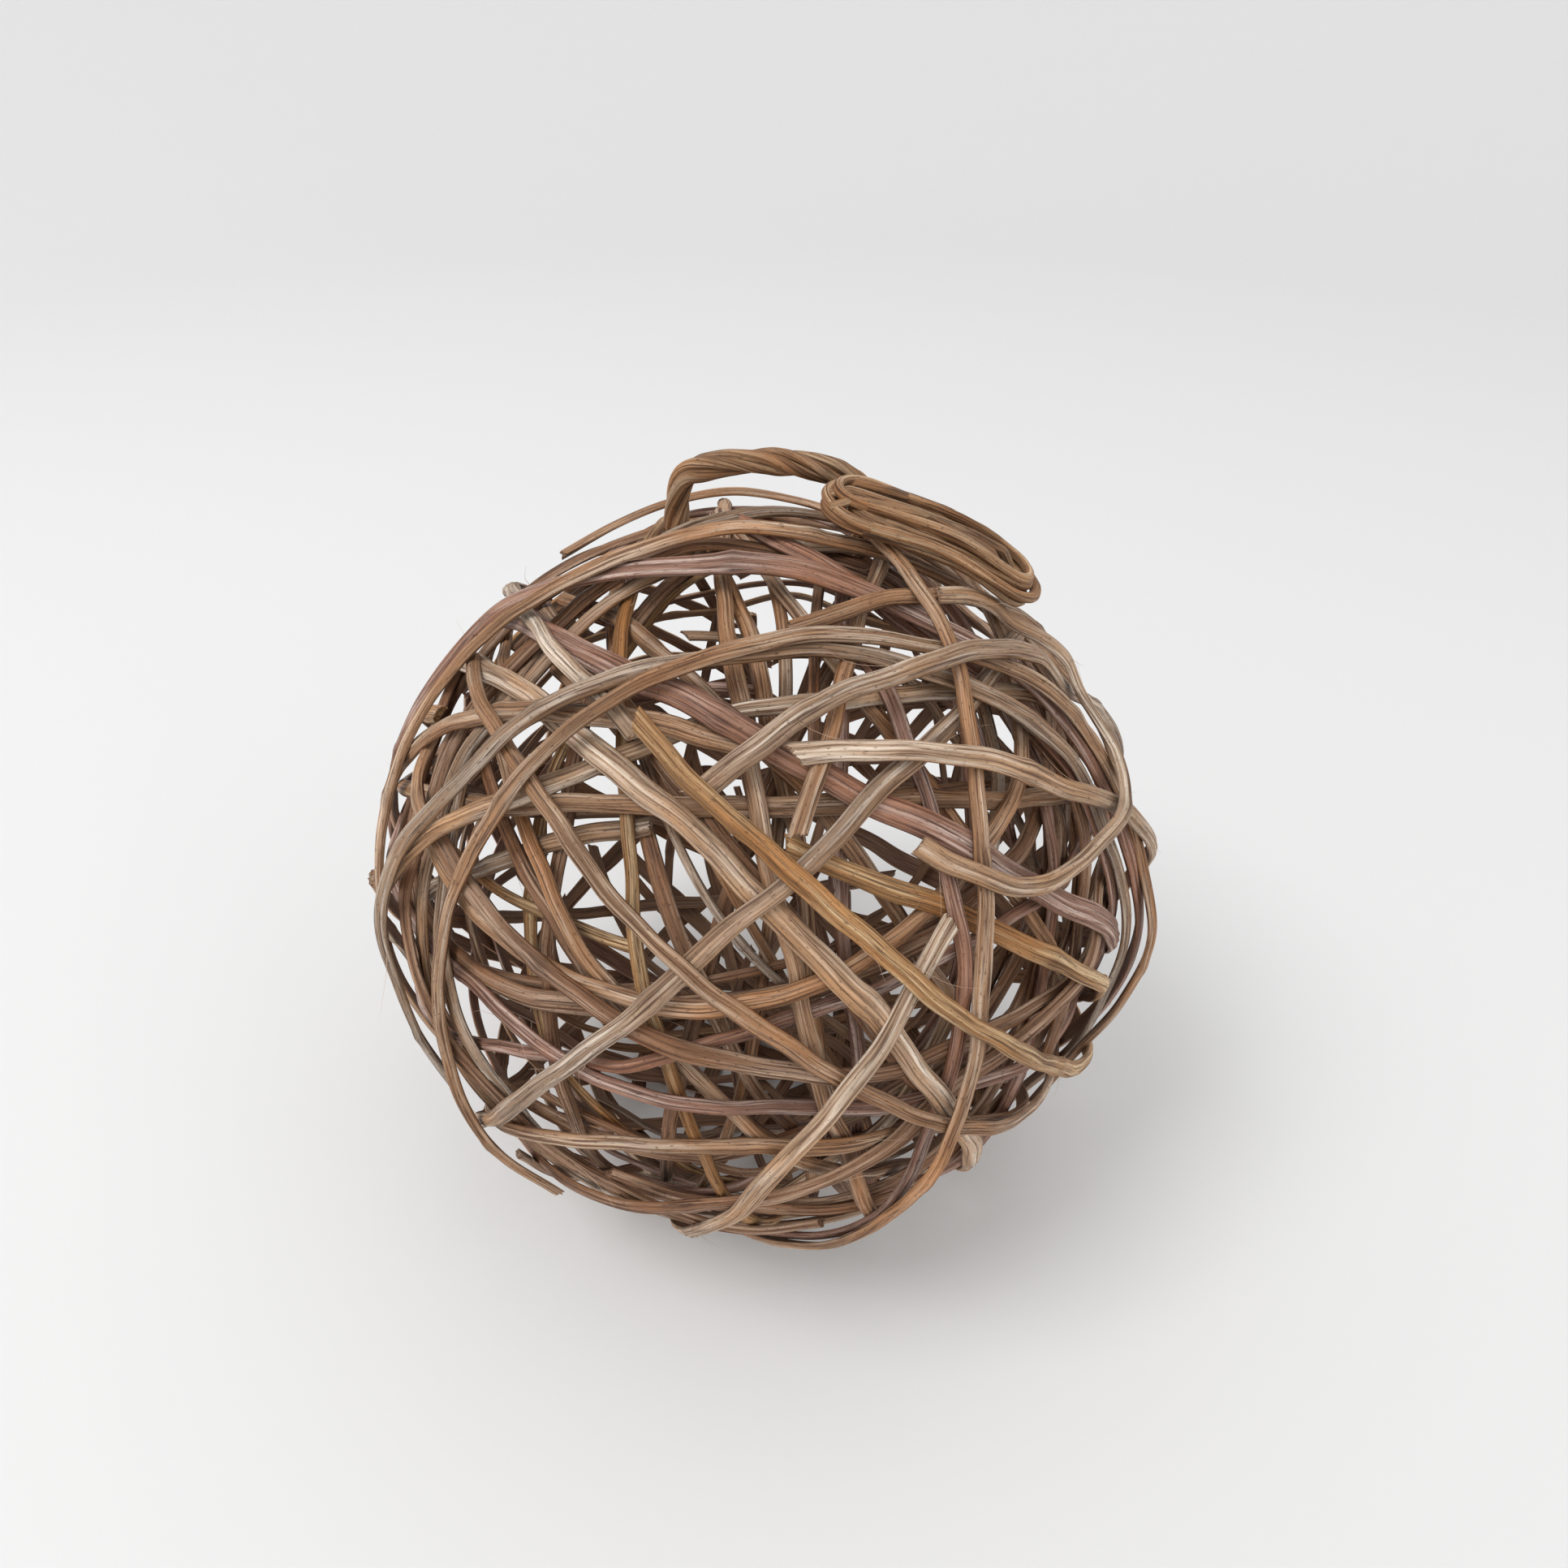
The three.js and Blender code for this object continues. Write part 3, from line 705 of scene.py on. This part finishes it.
# Rings round a round vine, with shallow ridges along it and its own unevenness.
def roundRings(line, outward, radius, points, dice):
    places = arcLengths(line)
    along = unit(np.gradient(line, axis=0))
    side = unit(np.cross(along, outward))
    outward = np.cross(side, along)
    angle = np.linspace(0, fullTurn, points, endpoint=False)
    ridges = dice.integers(*strandShape["ridges"])
    ripple = 0.5 - 0.5 * np.cos(ridges * angle + dice.uniform(0, 6))
    radii = radius * (1 + strandShape["unevenness"] * wander(places, 0.035, dice))
    knots = np.zeros(len(line))
    for place in dice.uniform(0, places[-1], strandShape["knots"]):
        knots += np.exp(-(((places - place) / strandShape["knotLength"]) ** 2))
    radii = radii * (1 + strandShape["knotSwelling"] * knots)
    oval = 1 + strandShape["ovalness"] * np.cos(2 * angle + dice.uniform(0, 6))
    radii = radii[:, None] * oval[None, :] - strandShape["ridgeDepth"] * ripple[None, :]
    around = side[:, None] * np.cos(angle)[None, :, None]
    around = around + outward[:, None] * np.sin(angle)[None, :, None]
    rings = line[:, None] + around * radii[..., None]
    grain = np.stack(np.broadcast_arrays(
        (dice.uniform(0, 90) + places)[:, None], (dice.uniform(0, 50) + angle * radius)[None, :]), -1)
    tone = 0.5 + 0.12 * wander(places, 0.06, dice) + dice.uniform(-0.1, 0.1) - 0.15 * knots
    # The blue mark sets where the bark paints shade into the hollows between the ridges.
    marks = np.stack(np.broadcast_arrays(
        tone[:, None], np.zeros((1, points)), 0.75 * ripple[None, :]), -1)
    return rings, grain, marks.copy()


def twistHandle():
    dice = np.random.default_rng(23)
    rope = handleLine()
    along = unit(np.gradient(rope, axis=0))
    across = unit(np.cross(along, np.tile([0.0, 1.0, 0.0], (len(rope), 1))))
    beside = np.cross(along, across)
    places = arcLengths(rope)
    for number in range(handle["strands"]):
        begin = fullTurn * number / handle["strands"]
        turn = begin + fullTurn * handle["turns"] * places / places[-1]
        turn = turn + 0.25 * wander(places, 0.06, dice)
        spread = handle["spread"] * (1 + 0.12 * wander(places, 0.05, dice))
        outward = across * np.cos(turn)[:, None] + beside * np.sin(turn)[:, None]
        line = rope + outward * spread[:, None]
        radius = dice.uniform(*handle["strandRadius"])
        rings, grain, marks = roundRings(line, outward, radius, handle["points"], dice)
        piece = vineMesh(f"handle_vine_{number + 1}", rings, grain, marks, "handle_bark")
        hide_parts(f"handle_strand_{number + 1}")
    print("handle twisted from", handle["strands"], "vines")


twistHandle()


# Lashing: vine folded to and fro into a long bundle in front of the handle's right foot

lashing = {
    "start": (0.037, -0.010, 0.151),  # from the ball's centre to the middle of its wide end
    "tip": (0.092, -0.017, 0.128),  # its far end points this way
    "arcRadius": 0.158,  # where the lengths along and across it are measured
    "radius": 0.00178,
    "pitch": 0.0039,  # from one strand to the next
    "length": 0.049,  # between the middles of its two bends
    "startRadius": 0.0088,  # of the innermost loop's bend at the wide end
    "tipRadius": 0.0058,
    "rows": 120,
    "points": 14,
}


def cornersOf(node):
    return np.array([vertex.co[:] for vertex in frame["nodes"][node].data.vertices]) - ballCentre


# Three directions at the wide end: straight out, across the bundle and along it.
def lashingFrame():
    start = unit(np.array(lashing["start"]))
    hinge = unit(np.cross(start, np.array(lashing["tip"])))
    return start, hinge, np.cross(hinge, start)


# A place in the bundle: metres along and across it, and from the ball's centre.
def lashingPlace(x, y, radius, base):
    start, hinge, forward = base
    turn, tilt = x / lashing["arcRadius"], y / lashing["arcRadius"]
    direction = start * np.cos(turn)[:, None] + forward * np.sin(turn)[:, None]
    direction = direction * np.cos(tilt)[:, None] - hinge * np.sin(tilt)[:, None]
    return ballCentre + direction * radius[:, None]


# The radius of the bundle's underside along its length, as its innermost CAD loop lies.
def lashingBed(base):
    start, hinge, forward = base
    corners = cornersOf("lashing_loop_1")
    radius = np.linalg.norm(corners, axis=1)
    along = np.arctan2(corners @ forward, corners @ start) * lashing["arcRadius"]
    stations = np.linspace(along.min(), along.max(), 10)
    low = [radius[abs(along - station) < 0.007].min() for station in stations]
    return lambda x: np.interp(x, stations, low)


# A loop like a belt round two wheels, grown outward from the innermost one.
def beltRoute(grow, rows):
    wide, tip = lashing["startRadius"] + grow, lashing["tipRadius"] + grow
    length = lashing["length"]
    lean = math.acos((lashing["startRadius"] - lashing["tipRadius"]) / length)
    back = np.linspace(lean, fullTurn - lean, 40)
    front = np.linspace(-lean, lean, 40)
    x = np.concatenate([wide * np.cos(back), length + tip * np.cos(front)])
    y = np.concatenate([wide * np.sin(back), tip * np.sin(front)])
    loop = np.stack([np.append(x, x[0]), np.append(y, y[0])], -1)
    lengths = arcLengths(loop)
    even = np.linspace(0, lengths[-1], rows, endpoint=False)
    return np.interp(even, lengths, loop[:, 0]), np.interp(even, lengths, loop[:, 1])


lashingLoops = (
    # name, pitches outside the innermost, layer, slip of its wide end, CAD node it stands for
    ("lashing_bend_1", 0.0, 0.0, 0.0, "lashing_loop_1"),
    ("lashing_bend_2", 1.0, 0.0, -0.0015, "lashing_loop_2"),
    ("lashing_bend_3", 0.5, 1.0, 0.0045, "lashing_loop_3"),
    ("lashing_bend_4", 1.5, 1.0, 0.0005, "lashing_loop_4"),
    ("lashing_bend_5", -0.45, 1.0, 0.009, None),
    ("lashing_bend_6", 0.1, 1.9, -0.002, None),
)
lashingTails = (
    # name, where it starts and ends (along and across), layer, CAD node it stands for
    ("lashing_end_1", (0.0095, 0.0021), (0.041, 0.0021), 0.0, "lashing_tail_1"),
    ("lashing_end_2", (0.0095, -0.0021), (0.039, -0.0021), 0.0, "lashing_tail_2"),
    ("lashing_end_3", (-0.012, 0.0085), (0.050, -0.0035), 1.95, None),
    ("lashing_end_4", (-0.014, 0.0015), (0.046, 0.0045), 1.9, None),
    ("lashing_end_5", (-0.010, -0.0055), (0.030, -0.0105), 1.8, None),
)


def tieLashing():
    dice = np.random.default_rng(5)
    base = lashingFrame()
    bed = lashingBed(base)
    layerStep = lashing["pitch"] * math.sqrt(0.75) + 0.0002
    for name, pitches, layer, slip, node in lashingLoops:
        x, y = beltRoute(pitches * lashing["pitch"], lashing["rows"])
        loop = np.linspace(0, fullTurn, len(x), endpoint=False)
        phase = dice.uniform(0, 6.28)
        radius = bed(x) + lashing["radius"] + layer * layerStep
        radius = radius + 0.0005 * np.sin(3 * loop + phase)
        x = x + slip * np.clip(1 - x / lashing["length"], 0, 1)
        y = y + 0.0009 * np.sin(2 * loop + phase) + 0.0004 * np.sin(5 * loop + 2 * phase)
        line = lashingPlace(x, y, radius, base)
        wrapped = np.vstack([line[-3:], line, line[:3]])
        outward = unit(wrapped - ballCentre)
        thickness = lashing["radius"] * dice.uniform(0.92, 1.12)
        rings, grain, marks = roundRings(wrapped, outward, thickness, lashing["points"], dice)
        piece = vineMesh(name, rings[3:-3], grain[3:-3], marks[3:-3], "lashing_bark", closed=True)
        if node:
            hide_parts(node)
    for name, begin, end, layer, node in lashingTails:
        place = np.linspace(-1, 1, 50)
        x = np.linspace(begin[0], end[0], len(place))
        y = np.linspace(begin[1], end[1], len(place)) + 0.0006 * wander(x, 0.04, dice)
        dip = 0.0035 * np.clip(abs(place) - 0.8, 0, 1) / 0.2 * (layer > 0)  # its ends tuck in
        line = lashingPlace(x, y, bed(x) + lashing["radius"] + layer * layerStep - dip, base)
        outward = unit(line - ballCentre)
        rings, grain, marks = roundRings(line, outward, lashing["radius"], lashing["points"], dice)
        piece = vineMesh(name, rings, grain, marks, "lashing_bark")
        if node:
            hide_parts(node)
    print("lashing tied:", len(lashingLoops), "loops")


tieLashing()


# Floor, light and camera

stageLook = {
    "floorRadius": 2.0,  # of the flat middle
    "rimRadius": 1.6,
    "rimSteps": 12,
    "floorSides": 96,
    "floorColour": (0.83, 0.83, 0.83),
    "skyColour": (1.0, 1.0, 1.0),
    "skyStrength": 0.77,
    "softBoxes": (
        # name, place, size and power
        ("key_light", (-1.6, -1.0, 2.9), 1.4, 44),
        ("fill_light", (2.0, -1.6, 1.4), 1.6, 6),
    ),
}


# A wide pale disc whose rim curves up, so that no edge shows behind the ball.
def layFloor():
    floorRadius, rimRadius = stageLook["floorRadius"], stageLook["rimRadius"]
    steps, sides = stageLook["rimSteps"], stageLook["floorSides"]
    profile = []
    for step in range(steps + 1):
        turn = math.pi / 2 * step / steps
        profile.append((floorRadius + rimRadius * math.sin(turn), rimRadius * (1 - math.cos(turn))))
    vertices, faces = [(0, 0, 0)], []
    for radius, height in profile:
        for side in range(sides):
            turn = fullTurn * side / sides
            vertices.append((radius * math.cos(turn), radius * math.sin(turn), height))
    for side in range(sides):
        following = (side + 1) % sides
        faces.append((0, 1 + side, 1 + following))
        for ring in range(steps):
            low, high = 1 + ring * sides, 1 + (ring + 1) * sides
            faces.append((low + side, high + side, high + following, low + following))
    mesh = bpy.data.meshes.new("floor")
    mesh.from_pydata(vertices, [], faces)
    mesh.polygons.foreach_set("use_smooth", [True] * len(faces))
    floor = bpy.data.objects.new("floor", mesh)
    bpy.context.scene.collection.objects.link(floor)
    material, nodes, links, shader = newMaterial("pale_floor")
    shader.inputs["Base Color"].default_value = stageLook["floorColour"] + (1,)
    shader.inputs["Roughness"].default_value = 0.95
    shader.inputs["Specular IOR Level"].default_value = 0.1
    mesh.materials.append(material)


def hangLights():
    world = bpy.data.worlds.new("soft_sky")
    bpy.context.scene.world = world
    world.use_nodes = True
    background = world.node_tree.nodes["Background"]
    background.inputs["Color"].default_value = stageLook["skyColour"] + (1,)
    background.inputs["Strength"].default_value = stageLook["skyStrength"]
    for name, place, size, power in stageLook["softBoxes"]:
        light = bpy.data.lights.new(name, "AREA")
        light.size = size
        light.energy = power
        lamp = bpy.data.objects.new(name, light)
        bpy.context.scene.collection.objects.link(lamp)
        lamp.location = place
        lamp.rotation_euler = (Vector(ballCentre) - Vector(place)).to_track_quat("-Z", "Y").to_euler()
    bpy.context.scene.view_settings.view_transform = "Standard"


view = {
    "elevation": 38.5,  # degrees above level
    "distance": 0.495,  # from the ball's centre
    "lens": 27,
    "sensorWidth": 36,
    "shift": (0.0212, 0.0538),
}


def aimCamera():
    elevation, distance = math.radians(view["elevation"]), view["distance"]
    data = bpy.data.cameras.new("camera")
    data.lens = view["lens"]
    data.sensor_width = view["sensorWidth"]
    data.shift_x, data.shift_y = view["shift"]
    camera = bpy.data.objects.new("camera", data)
    bpy.context.scene.collection.objects.link(camera)
    away = Vector((0, -math.cos(elevation), math.sin(elevation)))
    camera.location = Vector(ballCentre) + away * distance
    camera.rotation_euler = (-away).to_track_quat("-Z", "Y").to_euler()
    bpy.context.scene.camera = camera


layFloor()
hangLights()
aimCamera()
print("stage set")
